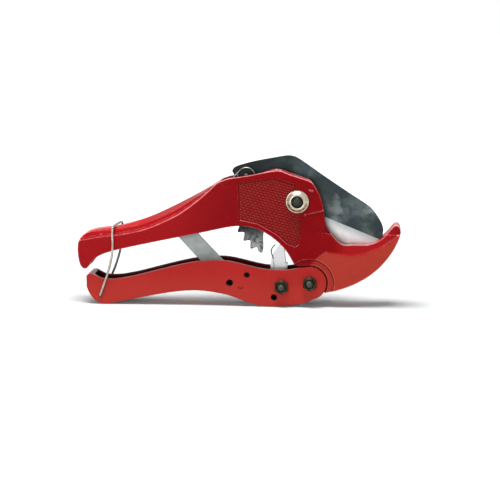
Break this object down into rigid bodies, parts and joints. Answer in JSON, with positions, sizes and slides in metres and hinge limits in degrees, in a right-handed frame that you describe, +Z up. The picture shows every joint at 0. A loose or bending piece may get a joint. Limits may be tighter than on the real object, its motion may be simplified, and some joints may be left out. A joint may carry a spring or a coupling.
{
  "type": "ratchet pipe cutter",
  "caption": "Hand-held ratchet cutter for plastic pipe: a hooked jaw cradles the pipe while squeezing the handles drives the toothed blade through it; a wire latch holds it shut.",
  "frame": {"origin": "centre of the bounding box's base, on the surface that the lower handle stands on", "axes": "+X along the tool towards the hooked jaw, +Z up from the lower handle to the frame, -Y towards the side with the nuts"},
  "size_m": [0.2032, 0.028, 0.0948],
  "materials": {
    "frame_paint": "satin",
    "handle_paint": "satin",
    "blade_steel": "satin",
    "bright_steel": "satin",
    "zinc_plate": "satin",
    "black_oxide": "satin",
    "galvanised": "matte",
    "spring_steel": "satin"
  },
  "bodies": {
    "frame": {"frame_casting": "frame_paint", "blade_pivot_bolt": "black_oxide", "blade_flange_nut": "zinc_plate", "handle_pivot_bush": "spring_steel"},
    "blade": {"blade": "blade_steel", "blade_washer_near": "zinc_plate", "blade_washer_far": "zinc_plate", "blade_spring_stud": "bright_steel", "blade_return_spring": "spring_steel"},
    "handle": {"lower_handle": "handle_paint", "handle_pivot_bolt": "black_oxide", "handle_pivot_nut": "black_oxide", "pawl_bolt": "black_oxide", "pawl_nut": "black_oxide", "pawl_spacer_near": "galvanised", "pawl_spacer_far": "galvanised", "pawl_spring_pin": "black_oxide", "spreader_pin": "black_oxide", "spreader_spacer_near": "galvanised", "spreader_spacer_far": "galvanised", "spring_anchor_pin": "black_oxide"},
    "pawl": {"pawl": "bright_steel", "pawl_spring": "spring_steel"},
    "strap": {"spreader_strap": "galvanised", "spreader_spring": "spring_steel"},
    "bail": {"latch_bail": "bright_steel"}
  },
  "joints": [
    {"name": "handle_open", "type": "hinge", "parent": "frame", "child": "handle", "pos_m": [0.04521, 0, 0.0154], "axis": [0, -1, 0], "range_deg": [0, 20]},
    {"name": "blade_open", "type": "hinge", "parent": "frame", "child": "blade", "pos_m": [0.03729, 0, 0.06699], "axis": [0, -1, 0], "range_deg": [0, 76.5]},
    {"name": "latch_swing", "type": "hinge", "parent": "handle", "child": "bail", "pos_m": [-0.08729, 0, 0.00551], "axis": [0, -1, 0], "range_deg": [0, 280.5]},
    {"name": "strap_swing", "type": "hinge", "parent": "handle", "child": "strap", "pos_m": [-0.0051, 0, 0.01489], "axis": [0, -1, 0], "range_deg": [-36.5, 0]},
    {"name": "pawl_rock", "type": "hinge", "parent": "handle", "child": "pawl", "pos_m": [0.0275, 0, 0.01299], "axis": [0, -1, 0], "range_deg": [-10, 0], "stiffness_Nm_per_rad": 0.02, "springref_deg": 20.05}
  ],
  "couplings": [
    {"joint": "blade_open", "follows": "handle_open", "ratio": 3.82},
    {"joint": "latch_swing", "follows": "handle_open", "ratio": 14},
    {"joint": "strap_swing", "follows": "handle_open", "ratio": -1.8}
  ]
}
